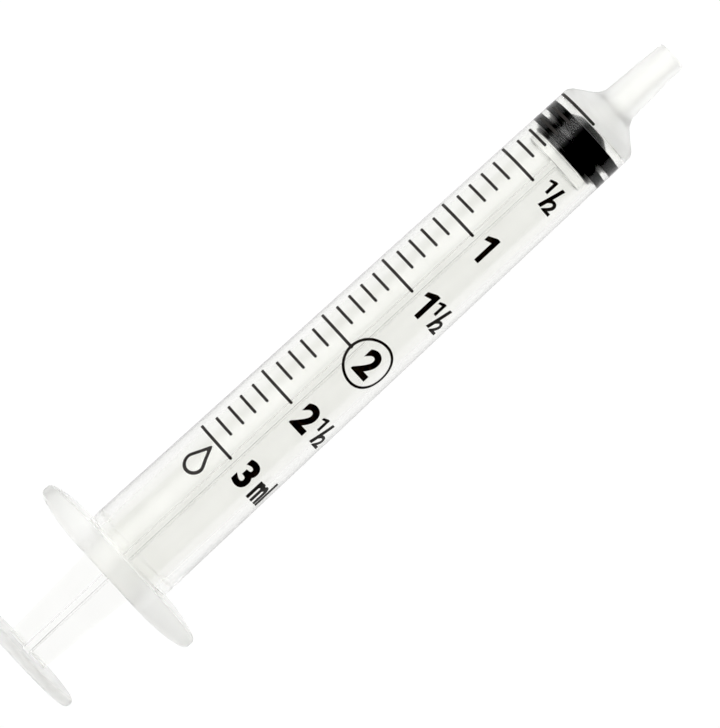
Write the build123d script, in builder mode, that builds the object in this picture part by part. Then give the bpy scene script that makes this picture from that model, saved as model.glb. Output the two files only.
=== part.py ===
"""Oral syringe, 3 mL, lying on its side.

The frame's origin is the centre of the nozzle's mouth. +X points out of the nozzle, +Z is up, and
the finger flange's wings spread along Y. Lengths are in millimetres, and stations along the
syringe are X values, so most of them are negative.
"""

import os
from math import pi

from build123d import *

os.makedirs("parts", exist_ok=True)

# Barrel: one moulding of nozzle, tube and finger flange
bore_r = 4.33
lumen_r = 1.0
mouth_r = 1.68  # nozzle's outer radius at its mouth
root_r = 2.04  # nozzle's outer radius where the shoulder starts
root_x = -8.1
front_r = 4.87  # tube's outer radius at the shoulder
shoulder_x = -10.27
rear_r = 5.6  # tube's outer radius at the flange
barrel_length = 79.85
rear_x = -barrel_length
mouth_edge_r = 0.35
root_fillet_r = 2.0
shoulder_edge_r = 1.1
recess_tip_r, recess_base_r = 1.7, 3.15  # conical pocket that takes the stopper's nose
recess_x, floor_x = -9.9, -11.15
floor_fillet_r = 0.25
bead_x, bead_height, bead_length = -76.3, 0.16, 1.2  # ring that keeps the stopper in
entry_length, entry_flare = 1.1, 0.3  # chamfered way in at the rear

# Finger flange
flange_span, flange_oval_depth, flange_depth = 22.2, 14.4, 12.8
flange_t = 2.6
flange_flat_y = 5.0  # outside this both faces curve towards each other, as an ellipse
flange_tip_t = 1.2  # where the ellipse is cut off

# Rubber stopper
seal_clearance = 0.02
seal_r = bore_r - seal_clearance
waist_r = 3.95
stopper_rear_x = -15.7
rear_seal_x, rear_seal_length = -15.3, 1.2
front_seal_x, front_seal_length = -13.6, 1.5
stopper_face_x = front_seal_x + front_seal_length
nose_base_r, nose_tip_r, nose_length = 2.95, 1.55, 0.9
seal_edge_r = 0.18

# Plunger rod
snap_clearance = 0.05  # the rod can turn in the stopper
neck_r, button_r, button_tip_r = 1.45, 2.05, 1.2
button_x, button_length, button_tip_length = -14.85, 1.4, 0.5
disc_r, disc_t = 3.7, 1.15
rib_t = 0.95
rib_front_half, rib_rear_half = 3.35, 2.55
rib_taper_x = -78.8  # the ribs are parallel ahead of this and taper behind it
rod_roll = -1.0  # the rod is free to turn, and it rests turned by this angle
thumb_r, thumb_t, thumb_edge_r = 7.2, 1.1, 0.45
overall_length = 92.55

# Printed graduation: the spacing follows from the bore
ink_t = 0.04
ml_length = 1000 / (pi * bore_r**2)
zero_x = -11.23
divisions_per_ml, ml_count, divisions_per_long = 10, 3, 5
long_line_y = (0.17, 4.72)
short_line_y = (2.0, 4.37)
line_w = 0.3

thumb_x = -overall_length
flange_mid_x = rear_x + flange_t / 2
flange_reach = (flange_span / 2 - flange_flat_y) / (1 - (flange_tip_t / flange_t) ** 2) ** 0.5
disc_x = stopper_rear_x - snap_clearance - disc_t


def tube_r(x):
    """The tube's outer radius at station x."""
    return front_r + (rear_r - front_r) * (shoulder_x - x) / (shoulder_x - rear_x)


# Barrel
with BuildPart() as barrel:
    with BuildSketch(Plane.YZ.offset(rear_x)):
        Ellipse(flange_span / 2, flange_oval_depth / 2)
        Rectangle(flange_span, flange_depth, mode=Mode.INTERSECT)
    extrude(amount=flange_t)
    with BuildSketch(Plane.XY):
        with Locations((flange_mid_x, 0)):
            Rectangle(flange_t, 2 * flange_flat_y)
        for side in (-1, 1):
            with Locations((flange_mid_x, side * flange_flat_y)):
                Ellipse(flange_t / 2, flange_reach)
    extrude(amount=flange_depth, both=True, mode=Mode.INTERSECT)
    with BuildSketch(Plane.XY):
        with BuildLine():
            outside = FilletPolyline(
                (0, lumen_r),
                (0, mouth_r),
                (root_x, root_r),
                (shoulder_x, front_r),
                (flange_mid_x, tube_r(flange_mid_x)),
                radius=[mouth_edge_r, root_fillet_r, shoulder_edge_r],
            )
            Polyline(outside @ 1, (flange_mid_x, 0), (0, 0), outside @ 0)
        make_face()
    revolve(axis=Axis.X)
    with BuildSketch(Plane.XY):
        with BuildLine():
            Polyline(
                (0, 0),
                (0, lumen_r),
                (recess_x, lumen_r),
                (recess_x, recess_tip_r),
                (floor_x, recess_base_r),
                (floor_x, bore_r),
                (bead_x + bead_length / 2, bore_r),
                (bead_x, bore_r - bead_height),
                (bead_x - bead_length / 2, bore_r),
                (rear_x + entry_length, bore_r),
                (rear_x, bore_r + entry_flare),
                (rear_x, 0),
                close=True,
            )
        bore_profile = make_face()
        fillet(bore_profile.vertices().sort_by_distance((floor_x, bore_r))[0], floor_fillet_r)
    revolve(axis=Axis.X, mode=Mode.SUBTRACT)

barrel.part.label = "barrel"
export_step(barrel.part, "parts/barrel.step")

# Stopper
with BuildPart() as stopper:
    with BuildSketch(Plane.XY):
        with BuildLine():
            Polyline(
                (stopper_rear_x, 0),
                (stopper_rear_x, waist_r),
                (stopper_face_x, waist_r),
                (stopper_face_x, nose_base_r),
                (stopper_face_x + nose_length, nose_tip_r),
                (stopper_face_x + nose_length, 0),
                close=True,
            )
        make_face()
    revolve(axis=Axis.X)
    for seal_x, seal_length in ((rear_seal_x, rear_seal_length), (front_seal_x, front_seal_length)):
        with BuildSketch(Plane.XY):
            with BuildLine():
                rib = FilletPolyline(
                    (seal_x, 0),
                    (seal_x, seal_r),
                    (seal_x + seal_length, seal_r),
                    (seal_x + seal_length, 0),
                    radius=seal_edge_r,
                )
                Line(rib @ 1, rib @ 0)
            make_face()
        revolve(axis=Axis.X)
    with BuildSketch(Plane.XY):
        with BuildLine():
            Polyline(
                (stopper_rear_x, 0),
                (stopper_rear_x, neck_r + snap_clearance),
                (button_x - snap_clearance, neck_r + snap_clearance),
                (button_x - snap_clearance, button_r + snap_clearance),
                (button_x + button_length, button_r + snap_clearance),
                (button_x + button_length + button_tip_length, button_tip_r + snap_clearance),
                (button_x + button_length + button_tip_length + snap_clearance, 0),
                close=True,
            )
        make_face()
    revolve(axis=Axis.X, mode=Mode.SUBTRACT)

stopper.part.label = "stopper"
export_step(stopper.part, "parts/stopper.step")

# Plunger rod
with BuildPart() as plunger_rod:
    for turn in (rod_roll, rod_roll + 90):
        with BuildSketch(Plane.XY.rotated((turn, 0, 0))):
            with BuildLine():
                Polyline(
                    (disc_x, 0),
                    (disc_x, rib_front_half),
                    (rib_taper_x, rib_front_half),
                    (thumb_x + thumb_t, rib_rear_half),
                    (thumb_x + thumb_t, 0),
                    close=True,
                )
            make_face()
            mirror(about=Plane.XZ)
        extrude(amount=rib_t / 2, both=True)
    with BuildSketch(Plane.YZ.offset(disc_x)):
        Circle(disc_r)
    extrude(amount=disc_t)
    with BuildSketch(Plane.XY):
        with BuildLine():
            Polyline(
                (disc_x + disc_t, 0),
                (disc_x + disc_t, neck_r),
                (button_x, neck_r),
                (button_x, button_r),
                (button_x + button_length, button_r),
                (button_x + button_length + button_tip_length, button_tip_r),
                (button_x + button_length + button_tip_length, 0),
                close=True,
            )
        make_face()
    revolve(axis=Axis.X)
    with BuildSketch(Plane.YZ.offset(thumb_x)):
        Circle(thumb_r)
    extrude(amount=thumb_t)
    thumb_rim = plunger_rod.edges().filter_by(GeomType.CIRCLE).sort_by(SortBy.RADIUS)[-2:]
    fillet(thumb_rim, thumb_edge_r)

plunger_rod.part.label = "plunger_rod"
export_step(plunger_rod.part, "parts/plunger_rod.step")

# Graduation lines, a film of ink on the tube
with BuildPart() as scale_lines:
    with BuildSketch(Plane.XY):
        for division in range(ml_count * divisions_per_ml + 1):
            low_y, high_y = short_line_y if division % divisions_per_long else long_line_y
            with Locations((zero_x - division * ml_length / divisions_per_ml, (low_y + high_y) / 2)):
                Rectangle(line_w, high_y - low_y)
    extrude(amount=rear_r + ink_t)
    with BuildSketch(Plane.XY):
        with BuildLine():
            Polyline(
                (shoulder_x, tube_r(shoulder_x)),
                (shoulder_x, tube_r(shoulder_x) + ink_t),
                (rear_x, tube_r(rear_x) + ink_t),
                (rear_x, tube_r(rear_x)),
                close=True,
            )
        make_face()
    revolve(axis=Axis.X, mode=Mode.INTERSECT)

scale_lines.part.label = "scale_lines"
export_step(scale_lines.part, "parts/scale_lines.step")
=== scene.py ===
"""Oral syringe, 3 mL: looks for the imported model.

The syringe lies along X with its nozzle's mouth at the origin, and its scale faces up. Shapes are
made in millimetres and turned into metres when a piece is finished. Stations are X values, so
most of them are negative.
"""

from math import asin, atan2, cos, hypot, pi, radians, sin, sqrt

import bmesh
import bpy
from mathutils import Matrix, Vector


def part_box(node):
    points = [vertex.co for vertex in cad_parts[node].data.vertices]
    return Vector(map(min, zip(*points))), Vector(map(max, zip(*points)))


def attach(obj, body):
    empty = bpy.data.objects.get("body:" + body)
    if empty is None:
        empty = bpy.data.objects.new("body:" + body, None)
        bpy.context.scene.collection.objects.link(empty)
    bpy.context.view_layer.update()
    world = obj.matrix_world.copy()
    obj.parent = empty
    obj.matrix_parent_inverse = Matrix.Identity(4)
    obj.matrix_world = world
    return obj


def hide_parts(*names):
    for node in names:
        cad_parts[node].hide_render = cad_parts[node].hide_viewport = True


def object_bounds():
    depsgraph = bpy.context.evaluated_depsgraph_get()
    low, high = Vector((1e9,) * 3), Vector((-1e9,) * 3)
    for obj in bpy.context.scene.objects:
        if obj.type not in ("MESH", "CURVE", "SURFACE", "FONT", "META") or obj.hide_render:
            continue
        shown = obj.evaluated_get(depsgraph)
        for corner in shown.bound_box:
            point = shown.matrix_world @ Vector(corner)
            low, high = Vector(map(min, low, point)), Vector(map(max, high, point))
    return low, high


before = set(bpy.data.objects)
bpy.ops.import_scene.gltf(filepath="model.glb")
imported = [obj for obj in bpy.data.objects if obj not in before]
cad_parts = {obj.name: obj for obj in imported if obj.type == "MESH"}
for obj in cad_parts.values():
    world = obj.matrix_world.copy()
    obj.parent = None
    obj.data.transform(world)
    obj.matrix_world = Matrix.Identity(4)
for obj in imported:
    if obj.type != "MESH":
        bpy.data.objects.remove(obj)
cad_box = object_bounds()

MM = 0.001
SIDES = 160  # facets round a turned shape


def station_range(node):
    """Where a CAD node starts and ends along the syringe, in millimetres."""
    low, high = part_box(node)
    return low[0] / MM, high[0] / MM


REAR, MOUTH = station_range("barrel")
THUMB_BACK, ROD_FRONT = station_range("plunger_rod")
STOPPER_BACK, NOSE_TIP = station_range("stopper")
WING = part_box("barrel")[1][1] / MM
FLANGE_HALF_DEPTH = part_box("barrel")[1][2] / MM
THUMB_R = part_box("plunger_rod")[1][1] / MM

# Barrel
BORE_R, LUMEN_R = 4.33, 1.0
MOUTH_R, ROOT_R, ROOT = 1.68, 2.04, -8.1
FRONT_R, SHOULDER = 4.87, -10.27
REAR_R = 5.6
BORE_END = -11.15
RECESS, RECESS_TIP_R, RECESS_BASE_R = -9.9, 1.7, 3.15  # a pocket for the stopper's nose
BEAD, BEAD_HALF, BEAD_HEIGHT = -76.3, 0.6, 0.16  # a ring in the bore that keeps the stopper in
ENTRY_LENGTH, ENTRY_FLARE = 1.1, 0.3  # the bore's chamfered way in
FLANGE_T, FLANGE_TIP_T = 2.6, 1.2
FLANGE_FACE = REAR + FLANGE_T
FLANGE_FULL_HALF_DEPTH = 7.2
FLAT_WING = 5.0  # outside this both faces of the flange curve towards each other

# Stopper
WAIST_R = 3.95
SQUEEZE = 0.03  # the rubber presses into the wall
REAR_SEAL, REAR_SEAL_LENGTH = STOPPER_BACK + 0.4, 1.2
FRONT_SEAL_LENGTH = 1.5
NOSE_LENGTH, NOSE_BASE_R, NOSE_TIP_R = 0.9, 2.95, 1.55

# Rod
ROLL = radians(-1)
RIB_T, RIB_HALF, RIB_REAR_HALF, RIB_TAPER = 0.95, 3.35, 2.55, -78.8
RIB_EDGE_R = 0.3
DISC_T, DISC_R = 1.15, 3.7
THUMB_T, THUMB_EDGE_R = 1.1, 0.45
THUMB_FACE = THUMB_BACK + THUMB_T
NECK_R, BUTTON_R, BUTTON_TIP_R = 1.45, 2.05, 1.2
BUTTON, BUTTON_SHOULDER = -14.85, -13.45
SNAP_GAP = 0.05  # the button turns in the stopper's socket

# Scale
ML = 1000 / (pi * BORE_R**2)
ZERO = -11.23
DIVISIONS_PER_ML, ML_COUNT, DIVISIONS_PER_LONG = 10, 3, 5
LONG_LINE, SHORT_LINE = (0.13, 4.8, 0.33), (1.96, 4.4, 0.32)  # from, to and width
INK_LIFT, INK_T = 0.006, 0.028


def tube_r(x):
    """The tube's outer radius at station x."""
    return FRONT_R + (REAR_R - FRONT_R) * (SHOULDER - x) / (SHOULDER - REAR)


# ---------------------------------------------------------------- making shapes


def turned(outline, closed=True, sides=SIDES):
    """A shape turned about X from (station, radius) points. A third number in a point says how
    far its corner is rounded off."""
    bm = bmesh.new()
    corners = [bm.verts.new((point[0], 0, point[1])) for point in outline]
    ends = corners[1:] + corners[:1] if closed else corners[1:]
    for a, b in zip(corners, ends):
        bm.edges.new((a, b))
    for corner, point in zip(corners, outline):
        if len(point) > 2:
            bmesh.ops.bevel(bm, geom=[corner], offset=point[2], offset_type="OFFSET",
                            segments=8, profile=0.5, affect="VERTICES", material=-1)
    bmesh.ops.spin(bm, geom=bm.verts[:] + bm.edges[:], cent=(0, 0, 0), axis=(1, 0, 0),
                   dvec=(0, 0, 0), angle=2 * pi, steps=sides, use_merge=True)
    bmesh.ops.remove_doubles(bm, verts=bm.verts[:], dist=1e-4)
    bmesh.ops.recalc_face_normals(bm, faces=bm.faces[:])
    return bm


def to_object(bm, name, sharp=35):
    """The bmesh as an object in metres, smooth except at edges sharper than sharp degrees."""
    bmesh.ops.scale(bm, vec=(MM, MM, MM), verts=bm.verts[:])
    mesh = bpy.data.meshes.new(name)
    bm.to_mesh(mesh)
    bm.free()
    mesh.shade_smooth()
    mesh.set_sharp_from_angle(angle=radians(sharp))
    made = bpy.data.objects.new(name, mesh)
    bpy.context.collection.objects.link(made)
    return made


def added(*shapes):
    """Several shapes as one."""
    whole = bmesh.new()
    for bm in shapes:
        mesh = bpy.data.meshes.new("shape")
        bm.to_mesh(mesh)
        bm.free()
        whole.from_mesh(mesh)
        bpy.data.meshes.remove(mesh)
    return whole


def baked(obj):
    """obj with its modifiers worked into its mesh."""
    graph = bpy.context.evaluated_depsgraph_get()
    mesh = bpy.data.meshes.new_from_object(obj.evaluated_get(graph))
    obj.modifiers.clear()
    obj.data = mesh
    return obj


def united(name, first, *others):
    """One closed skin round several overlapping shapes."""
    whole = to_object(first, name)
    parts = [to_object(bm, name + "_part") for bm in others]
    for part in parts:
        join = whole.modifiers.new("join", "BOOLEAN")
        join.operation = "UNION"
        join.solver = "EXACT"
        join.object = part
    baked(whole)
    for part in parts:
        bpy.data.objects.remove(part)
    return whole


def dressed(obj, body, material_slot, material, *nodes):
    """Puts a finished piece on its body, with its material, in place of the CAD nodes."""
    obj.data.materials.clear()
    obj.data.materials.append(material)
    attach(obj, body)
    if nodes:
        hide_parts(*nodes)
    return obj


# ---------------------------------------------------------------- materials

HAZY_IOR = 1.32  # below clear plastic's 1.49, because haze hides most of its bending of light
MATT_ENDS = 0.28  # how much rougher the thick ends are


def new_material(name):
    material = bpy.data.materials.new(name)
    material.use_nodes = True
    tree = material.node_tree
    shader = tree.nodes["Principled BSDF"]
    place = tree.nodes.new("ShaderNodeTexCoord")
    return material, tree, shader, place.outputs["Object"]


def noise(tree, place, scale, detail=3.0, stretch=(1, 1, 1)):
    """A noise pattern's strength, on Object coordinates. stretch below 1 lengthens its grain."""
    mapping = tree.nodes.new("ShaderNodeMapping")
    mapping.inputs["Scale"].default_value = stretch
    tree.links.new(place, mapping.inputs["Vector"])
    pattern = tree.nodes.new("ShaderNodeTexNoise")
    pattern.inputs["Scale"].default_value = scale
    pattern.inputs["Detail"].default_value = detail
    tree.links.new(mapping.outputs["Vector"], pattern.inputs["Vector"])
    return pattern.outputs["Fac"]


def spread(tree, value, start, end, low, high, curve="LINEAR"):
    """value, from start to end, spread from low to high."""
    span = tree.nodes.new("ShaderNodeMapRange")
    span.interpolation_type = curve
    for name, number in (("From Min", start), ("From Max", end), ("To Min", low), ("To Max", high)):
        span.inputs[name].default_value = number
    tree.links.new(value, span.inputs["Value"])
    return span.outputs["Result"]


def varied(tree, pattern, low, high):
    """A number that a noise pattern moves between low and high."""
    return spread(tree, pattern, 0.3, 0.7, low, high)


def combined(tree, operation, *values):
    sums = tree.nodes.new("ShaderNodeMath")
    sums.operation = operation
    for socket, value in zip(sums.inputs, values):
        tree.links.new(value, socket)
    return sums.outputs["Value"]


def tinted(tree, value, low, high):
    """A colour between low and high, by value."""
    ramp = tree.nodes.new("ShaderNodeValToRGB")
    ramp.color_ramp.elements[0].position = 0.35
    ramp.color_ramp.elements[0].color = (*low, 1)
    ramp.color_ramp.elements[1].position = 0.65
    ramp.color_ramp.elements[1].color = (*high, 1)
    tree.links.new(value, ramp.inputs["Fac"])
    return ramp.outputs["Color"]


def bumped(tree, value, shader, strength, distance):
    bump = tree.nodes.new("ShaderNodeBump")
    bump.inputs["Strength"].default_value = strength
    bump.inputs["Distance"].default_value = distance
    tree.links.new(value, bump.inputs["Height"])
    tree.links.new(bump.outputs["Normal"], shader.inputs["Normal"])


def past_limits(tree, place, limits):
    """1 past any of the limits along the syringe, and 0 elsewhere. Each limit is a pair of
    stations, where the change starts and where it ends."""
    split = tree.nodes.new("ShaderNodeSeparateXYZ")
    tree.links.new(place, split.inputs["Vector"])
    share = None
    for start, end in limits:
        step = spread(tree, split.outputs["X"], start * MM, end * MM, 0, 1)
        share = step if share is None else combined(tree, "MAXIMUM", share, step)
    return share


def polypropylene(name, tints, rough, absorb, milky, *thick):
    """Moulded translucent plastic: faint flow lines along the part, a mottled haze and a tint
    that deepens with thickness. It is milky and matt past its thick ends' limits."""
    material, tree, shader, place = new_material(name)
    flow = noise(tree, place, 900, stretch=(0.06, 1, 1))
    mottle = noise(tree, place, 260)
    ends = past_limits(tree, place, thick)
    matt = spread(tree, ends, 0, 1, 0, MATT_ENDS)
    clarity = spread(tree, ends, 0, 1, 1, 1 - milky)
    tree.links.new(tinted(tree, mottle, *tints), shader.inputs["Base Color"])
    tree.links.new(combined(tree, "ADD", varied(tree, flow, *rough), matt),
                   shader.inputs["Roughness"])
    tree.links.new(clarity, shader.inputs["Transmission Weight"])
    shader.inputs["IOR"].default_value = HAZY_IOR
    bumped(tree, flow, shader, 0.03, 0.00002)
    volume = tree.nodes.new("ShaderNodeVolumeAbsorption")
    volume.inputs["Color"].default_value = (0.90, 0.90, 0.89, 1)
    volume.inputs["Density"].default_value = absorb
    tree.links.new(volume.outputs["Volume"], tree.nodes["Material Output"].inputs["Volume"])
    return material


def rubber(name):
    """Black butyl rubber with a fine moulded grain and a trace of silicone oil."""
    material, tree, shader, place = new_material(name)
    bloom = noise(tree, place, 700)
    grain = noise(tree, place, 5200)
    tree.links.new(tinted(tree, bloom, (0.001, 0.001, 0.0012), (0.003, 0.003, 0.0034)),
                   shader.inputs["Base Color"])
    tree.links.new(varied(tree, bloom, 0.30, 0.46), shader.inputs["Roughness"])
    shader.inputs["Specular IOR Level"].default_value = 0.25
    bumped(tree, grain, shader, 0.25, 0.00002)
    return material


def ink(name):
    """Pad-printed black ink, a little uneven in depth and sheen."""
    material, tree, shader, place = new_material(name)
    cover = noise(tree, place, 2600)
    tree.links.new(tinted(tree, cover, (0.012, 0.010, 0.009), (0.028, 0.024, 0.021)),
                   shader.inputs["Base Color"])
    tree.links.new(varied(tree, cover, 0.45, 0.65), shader.inputs["Roughness"])
    bumped(tree, cover, shader, 0.2, 0.00001)
    return material


clear_plastic = polypropylene(
    "clear_polypropylene", ((0.955, 0.956, 0.938), (0.975, 0.976, 0.96)), (0.13, 0.19), 25, 0.14,
    (BORE_END - 0.3, BORE_END), (FLANGE_FACE + 0.35, FLANGE_FACE))
rod_plastic = polypropylene(
    "rod_polypropylene", ((0.978, 0.979, 0.963), (0.993, 0.994, 0.98)), (0.14, 0.23), 8, 0.08,
    (THUMB_FACE + 0.3, THUMB_FACE))
black_rubber = rubber("black_rubber")
black_ink = ink("black_ink")

# ---------------------------------------------------------------- barrel


def flange_edge(angle):
    """How far the flange reaches from the axis in a direction, as a cut-off oval."""
    across, up = abs(cos(angle)), abs(sin(angle))
    oval = 1 / sqrt((across / WING) ** 2 + (up / FLANGE_FULL_HALF_DEPTH) ** 2)
    return min(oval, FLANGE_HALF_DEPTH / up) if up > 1e-6 else oval


def flange_thinning(y):
    """The flange's thickness at y, as a share of what it is at the tube."""
    ellipse = (WING - FLAT_WING) / sqrt(1 - (FLANGE_TIP_T / FLANGE_T) ** 2)
    return sqrt(1 - (max(0.0, abs(y) - FLAT_WING) / ellipse) ** 2)


def shape_flange(bm):
    """Turns the round flange into a two-winged one that thins towards its tips."""
    flange_middle = REAR + FLANGE_T / 2
    for vert in bm.verts:
        x, y, z = vert.co
        reach = hypot(y, z)
        if reach < tube_r(x) + 0.01:
            continue
        angle = atan2(z, y)
        share = (reach - REAR_R) / (WING - REAR_R)
        reach = REAR_R + share * (flange_edge(angle) - REAR_R)
        y, z = reach * cos(angle), reach * sin(angle)
        vert.co = (flange_middle + (x - flange_middle) * flange_thinning(y), y, z)


def make_barrel():
    ring_count = 14
    rings = [REAR_R + (WING - REAR_R) * step / ring_count for step in range(1, ring_count)]
    outside = [
        (MOUTH, LUMEN_R, 0.12),
        (MOUTH, MOUTH_R, 0.35),
        (ROOT, ROOT_R, 0.93),
        (SHOULDER, FRONT_R, 0.55),
        (FLANGE_FACE, tube_r(FLANGE_FACE), 0.35),
    ]
    wing = [(FLANGE_FACE, r) for r in rings]
    wing += [(FLANGE_FACE, WING, 0.75), (REAR, WING, 0.75)]
    wing += [(REAR, r) for r in reversed(rings)]
    inside = [
        (REAR, BORE_R + ENTRY_FLARE, 0.15),
        (REAR + ENTRY_LENGTH, BORE_R, 0.4),
        (BEAD - BEAD_HALF, BORE_R, 0.3),
        (BEAD, BORE_R - BEAD_HEIGHT, 0.3),
        (BEAD + BEAD_HALF, BORE_R, 0.3),
        (BORE_END, BORE_R, 0.3),
        (BORE_END, RECESS_BASE_R, 0.3),
        (RECESS, RECESS_TIP_R, 0.3),
        (RECESS, LUMEN_R, 0.1),
    ]
    bm = turned(outside + wing + inside)
    shape_flange(bm)
    bmesh.ops.recalc_face_normals(bm, faces=bm.faces[:])
    return to_object(bm, "barrel_moulding")


barrel = dressed(make_barrel(), "barrel", "clear_plastic", clear_plastic, "barrel")
barrel.visible_shadow = False

# ---------------------------------------------------------------- stopper


def make_stopper():
    seal_r = BORE_R + SQUEEZE
    face = NOSE_TIP - NOSE_LENGTH
    # The nose and the socket's floor meet the axis, so the outline is open between them.
    skin = [
        (STOPPER_BACK, NECK_R + SNAP_GAP),
        (STOPPER_BACK, WAIST_R, 0.1),
        (REAR_SEAL, WAIST_R, 0.08),
        (REAR_SEAL, seal_r, 0.16),
        (REAR_SEAL + REAR_SEAL_LENGTH, seal_r, 0.16),
        (REAR_SEAL + REAR_SEAL_LENGTH, WAIST_R, 0.12),
        (face - FRONT_SEAL_LENGTH, WAIST_R, 0.12),
        (face - FRONT_SEAL_LENGTH, seal_r, 0.16),
        (face, seal_r, 0.16),
        (face, NOSE_BASE_R, 0.3),
        (NOSE_TIP, NOSE_TIP_R, 0.35),
        (NOSE_TIP, 0),
    ]
    socket = [
        (ROD_FRONT + SNAP_GAP, 0),
        (ROD_FRONT + SNAP_GAP, BUTTON_TIP_R + SNAP_GAP),
        (BUTTON_SHOULDER, BUTTON_R + SNAP_GAP),
        (BUTTON - SNAP_GAP, BUTTON_R + SNAP_GAP),
        (BUTTON - SNAP_GAP, NECK_R + SNAP_GAP),
        (STOPPER_BACK, NECK_R + SNAP_GAP),
    ]
    bm = added(turned(skin, closed=False), turned(socket, closed=False))
    bmesh.ops.remove_doubles(bm, verts=bm.verts[:], dist=1e-4)
    bmesh.ops.recalc_face_normals(bm, faces=bm.faces[:])
    return to_object(bm, "rubber_stopper")


dressed(make_stopper(), "stopper", "black_rubber", black_rubber, "stopper")

# ---------------------------------------------------------------- plunger rod


def disc(back, thickness, radius, edge_r=0.1):
    front = back + thickness
    return turned([(back, 0), (back, radius, edge_r), (front, radius, edge_r), (front, 0)],
                  closed=False, sides=96)


def rib(turn):
    """One of the two crossed webs, of even width as far back as RIB_TAPER and narrower behind
    it. It ends inside the disc and the thumb rest."""
    bm = bmesh.new()
    front, back = STOPPER_BACK - 0.4, THUMB_BACK + 0.6
    corners = [(front, RIB_HALF), (RIB_TAPER, RIB_HALF), (back, RIB_REAR_HALF)]
    corners += [(x, -half) for x, half in reversed(corners)]
    face = bm.faces.new([bm.verts.new((x, y, -RIB_T / 2)) for x, y in corners])
    raised = bmesh.ops.extrude_face_region(bm, geom=[face])
    top = [item for item in raised["geom"] if isinstance(item, bmesh.types.BMVert)]
    bmesh.ops.translate(bm, vec=(0, 0, RIB_T), verts=top)
    along = [edge for edge in bm.edges
             if abs(edge.verts[0].co.x - edge.verts[1].co.x) > RIB_HALF]
    bmesh.ops.bevel(bm, geom=along, offset=RIB_EDGE_R, offset_type="OFFSET", segments=4,
                    profile=0.5, affect="EDGES", material=-1)
    bmesh.ops.recalc_face_normals(bm, faces=bm.faces[:])
    bmesh.ops.rotate(bm, cent=(0, 0, 0), matrix=Matrix.Rotation(turn, 3, "X"), verts=bm.verts[:])
    return bm


def make_rod():
    disc_front = STOPPER_BACK - SNAP_GAP
    inside_disc = disc_front - DISC_T / 2
    snap = turned(
        [(inside_disc, 0), (inside_disc, NECK_R), (BUTTON, NECK_R), (BUTTON, BUTTON_R),
         (BUTTON_SHOULDER, BUTTON_R), (ROD_FRONT, BUTTON_TIP_R), (ROD_FRONT, 0)],
        closed=False, sides=96)
    rod = united(
        "plunger_rod_moulding", rib(ROLL), rib(ROLL + pi / 2),
        disc(disc_front - DISC_T, DISC_T, DISC_R), disc(THUMB_BACK, THUMB_T, THUMB_R, THUMB_EDGE_R),
        snap)
    soften = rod.modifiers.new("soften", "BEVEL")
    soften.width = 0.12 * MM
    soften.segments = 2
    soften.limit_method = "ANGLE"
    soften.angle_limit = radians(40)
    soften.harden_normals = True
    return baked(rod)


dressed(make_rod(), "plunger_rod", "rod_plastic", rod_plastic, "plunger_rod")

# ---------------------------------------------------------------- printed scale


def on_tube(x, around, lift):
    """The place at station x, around millimetres round the tube from its top towards +Y."""
    radius = tube_r(x) + lift
    angle = around / tube_r(x)
    return Vector((x, radius * sin(angle), radius * cos(angle)))


def around_at(x, y):
    """How far round the tube the point at height y in a view from above lies."""
    return tube_r(x) * asin(max(-1.0, min(1.0, y / tube_r(x))))


def print_on_tube(bm, name):
    """Wraps a flat shape, drawn with X along the syringe and Y round it, and gives it depth."""
    step, low = 0.3, min(v.co.y for v in bm.verts)
    high = max(v.co.y for v in bm.verts)
    for cut in range(1, int((high - low) / step) + 1):
        everything = bm.verts[:] + bm.edges[:] + bm.faces[:]
        bmesh.ops.bisect_plane(bm, geom=everything, plane_co=(0, low + cut * step, 0),
                               plane_no=(0, 1, 0), dist=1e-5)
    for face in bm.faces:
        if face.normal.z < 0:
            face.normal_flip()
    raised = bmesh.ops.extrude_face_region(bm, geom=bm.faces[:], use_keep_orig=True)
    top = {item for item in raised["geom"] if isinstance(item, bmesh.types.BMVert)}
    for vert in bm.verts:
        lift = INK_LIFT + (INK_T if vert in top else 0)
        vert.co = on_tube(vert.co.x, vert.co.y, lift)
    bmesh.ops.recalc_face_normals(bm, faces=bm.faces[:])
    made = to_object(bm, name)
    return dressed(made, "barrel", "ink", black_ink)


def bar(bm, x, low, high, width):
    """A printed line across the scale, with rounded ends."""
    left, right = x - width / 2, x + width / 2
    outline = [(left, low), (right, low), (right, high), (left, high)]
    corners = [bm.verts.new((px, py, 0)) for px, py in outline]
    bm.faces.new(corners)
    bmesh.ops.bevel(bm, geom=corners, offset=width * 0.4, offset_type="OFFSET", segments=3,
                    profile=0.5, affect="VERTICES", material=-1)


def make_lines():
    bm = bmesh.new()
    for division in range(ML_COUNT * DIVISIONS_PER_ML + 1):
        x = ZERO - division * ML / DIVISIONS_PER_ML
        low, high, width = SHORT_LINE if division % DIVISIONS_PER_LONG else LONG_LINE
        bar(bm, x, around_at(x, low), around_at(x, high), width)
    return print_on_tube(bm, "graduation_lines")


lines = make_lines()
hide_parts("scale_lines")


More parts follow.
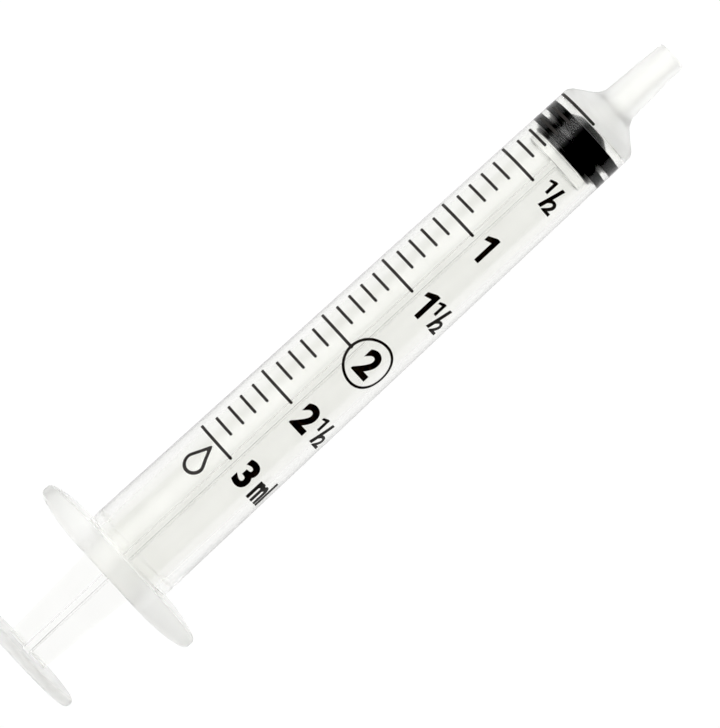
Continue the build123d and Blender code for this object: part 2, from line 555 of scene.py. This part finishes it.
def lettering(text, station, start, height, stretch=1.0):
    """Text on the tube, read with the nozzle up. start is where its first sign begins, in
    millimetres round the tube, and the reading runs away from the graduation lines. stretch
    widens its signs."""
    curve = bpy.data.curves.new("sign", "FONT")
    curve.body = text
    curve.size = 1
    curve.offset = 0.04  # a bolder weight
    curve.resolution_u = 6
    sign = bpy.data.objects.new("sign", curve)
    bpy.context.collection.objects.link(sign)
    graph = bpy.context.evaluated_depsgraph_get()
    mesh = bpy.data.meshes.new_from_object(sign.evaluated_get(graph))
    bpy.data.objects.remove(sign)
    bm = bmesh.new()
    bm.from_mesh(mesh)
    bmesh.ops.remove_doubles(bm, verts=bm.verts[:], dist=1e-5)
    low = Vector(min(v.co[axis] for v in bm.verts) for axis in range(2))
    tall = max(v.co.y for v in bm.verts) - low.y
    scale = height / tall
    for vert in bm.verts:
        along, up = (vert.co.x - low.x) * scale * stretch, (vert.co.y - low.y) * scale
        vert.co = (station + up, start - along, 0)
    return bm


def figure_one(station, start, height, width):
    """The figure 1: an upright with a flag. station is its foot, start its left side."""
    stem = width * 0.42
    right = start - width
    points = [(0, right + stem), (0, right), (height, right), (height, right + stem * 0.75),
              (height * 0.84, start), (height * 0.66, start), (height * 0.75, right + stem)]
    bm = bmesh.new()
    bm.faces.new([bm.verts.new((station + x, y, 0)) for x, y in points])
    return bm


def slash(station, start, height, width, thick):
    far = start - width
    points = [(0, start), (0, start - thick), (height, far), (height, far + thick)]
    bm = bmesh.new()
    bm.faces.new([bm.verts.new((station + x, y, 0)) for x, y in points])
    return bm


def half(station, start):
    """The fraction one half, 3.1 mm tall."""
    return added(
        figure_one(station + 1.5, start, 1.6, 0.9),
        slash(station + 0.1, start - 0.95, 2.95, 1.25, 0.48),
        lettering("2", station, start - 1.6, 1.6, 1.3),
    )


def circle(station, middle, radius, line):
    bm = bmesh.new()
    bmesh.ops.create_circle(bm, cap_ends=False, radius=radius, segments=64)
    bmesh.ops.create_circle(bm, cap_ends=False, radius=radius - line, segments=64)
    bmesh.ops.bridge_loops(bm, edges=bm.edges[:])
    bmesh.ops.translate(bm, vec=(station, middle, 0), verts=bm.verts[:])
    return bm


def droplet(station, middle, radius, line):
    """The outline of a drop whose point is towards the nozzle."""
    bm = bmesh.new()
    for size in (radius, radius - line):
        ring = bmesh.ops.create_circle(bm, cap_ends=False, radius=size, segments=64)["verts"]
        for vert in ring:
            ahead = max(0.0, vert.co.x / size)
            vert.co.x += size * 0.95 * ahead**3
            vert.co.y *= 1 - 0.55 * ahead**2
    bmesh.ops.bridge_loops(bm, edges=bm.edges[:])
    bmesh.ops.translate(bm, vec=(station, middle, 0), verts=bm.verts[:])
    return bm


def station_of(ml):
    return ZERO - ml * ML


DIGIT = 3.25  # a numeral's height
FOOT = DIGIT / 2 - 0.08  # from a long line to the foot of its numeral
print_on_tube(half(station_of(0.5) - 1.42, -0.95), "mark_half")
print_on_tube(figure_one(station_of(1) - FOOT, -0.85, DIGIT, 1.4), "mark_1")
print_on_tube(added(figure_one(station_of(1.5) - FOOT, -0.9, DIGIT, 1.42),
                    half(station_of(1.5) - 1.45, -2.6)), "mark_1_half")
print_on_tube(added(lettering("2", station_of(2) - FOOT, -1.25, DIGIT),
                    circle(station_of(2) + 0.05, middle=-2.28, radius=2.8, line=0.3)), "mark_2")
print_on_tube(added(lettering("2", station_of(2.5) - FOOT, -1.0, DIGIT),
                    half(station_of(2.5) - 1.45, -3.38)), "mark_2_half")
print_on_tube(added(lettering("3", station_of(3) - FOOT, -1.22, DIGIT),
                    lettering("ml", station_of(3) - FOOT, -3.95, DIGIT, 0.64)), "mark_3")
print_on_tube(droplet(-65.25, middle=2.6, radius=1.3, line=0.38), "mark_droplet")

# ---------------------------------------------------------------- camera, floor and light

VIEW_ANGLE = radians(42.65)  # of the syringe above the view's lower edge
CAMERA_HEIGHT = 0.6
VIEW_DEPTH = 75.8333 * MM  # what the view takes in from top to bottom, at the syringe's axis
SENSOR = 36
FLOOR_GAP = 0.02
CEILING, WALL_FAR, WALL_NEAR, WALL_ENDS = 0.04, 0.1, 1.0, 1.0  # the surroundings' brightness
middle = Vector((-45.74, -1.6, 0)) * MM  # what the camera and the light point at

camera_data = bpy.data.cameras.new("camera")
camera_data.sensor_width = SENSOR
camera_data.lens = SENSOR * CAMERA_HEIGHT / VIEW_DEPTH
camera_data.clip_end = 20
camera = bpy.data.objects.new("camera", camera_data)
camera.location = middle + Vector((0, 0, CAMERA_HEIGHT))
camera.rotation_euler = (0, 0, -VIEW_ANGLE)
bpy.context.collection.objects.link(camera)
bpy.context.scene.camera = camera


def make_floor():
    bm = bmesh.new()
    bmesh.ops.create_circle(bm, cap_ends=True, radius=2500, segments=96)
    low = cad_box[0][2] / MM
    bmesh.ops.translate(bm, vec=(0, 0, low - FLOOR_GAP), verts=bm.verts[:])
    floor = to_object(bm, "floor")
    material = bpy.data.materials.new("pale_floor")
    material.use_nodes = True
    shader = material.node_tree.nodes["Principled BSDF"]
    shader.inputs["Base Color"].default_value = (0.03, 0.03, 0.03, 1)
    shader.inputs["Roughness"].default_value = 0.9
    shader.inputs["Specular IOR Level"].default_value = 0.0
    shader.inputs["Emission Color"].default_value = (1, 1, 1, 1)
    shader.inputs["Emission Strength"].default_value = 1.0
    floor.data.materials.append(material)


def softbox(name, aim, distance, out, size, strength):
    """An area light out towards +Y by an angle from straight up, facing the syringe."""
    light = bpy.data.lights.new(name, "AREA")
    light.shape = "RECTANGLE"
    light.size, light.size_y = size
    light.energy = strength
    made = bpy.data.objects.new(name, light)
    made.location = aim + Vector((0, sin(out), cos(out))) * distance
    made.rotation_euler = Matrix.Rotation(-out, 3, "X").to_euler()
    bpy.context.collection.objects.link(made)


def make_world():
    """A dim ceiling over walls that are pale off the syringe's two ends and on the +Y side."""
    world = bpy.data.worlds.new("studio")
    world.use_nodes = True
    tree = world.node_tree
    place = tree.nodes.new("ShaderNodeTexCoord")
    split = tree.nodes.new("ShaderNodeSeparateXYZ")
    tree.links.new(place.outputs["Generated"], split.inputs["Vector"])
    soft = "SMOOTHSTEP"
    outward = combined(tree, "ABSOLUTE", split.outputs["X"])
    height = spread(tree, split.outputs["Z"], -0.05, 0.2, 1, CEILING, soft)
    side = spread(tree, split.outputs["Y"], -0.6, 0.6, WALL_FAR, WALL_NEAR, soft)
    ends = spread(tree, outward, 0.4, 0.85, 0, WALL_ENDS, soft)
    strength = combined(tree, "MAXIMUM", combined(tree, "MULTIPLY", height, side), ends)
    tree.links.new(strength, tree.nodes["Background"].inputs["Strength"])
    tree.nodes["Background"].inputs["Color"].default_value = (1, 1, 0.99, 1)
    bpy.context.scene.world = world


make_floor()
make_world()
softbox("key_softbox", middle, distance=0.5, out=radians(41), size=(1.2, 0.31), strength=2.9)

# Deep blacks, as on matt rubber
view = bpy.context.scene.view_settings
view.view_transform = "Standard"
view.use_curve_mapping = True
view.curve_mapping.black_level = (0.02, 0.02, 0.02)
view.curve_mapping.update()
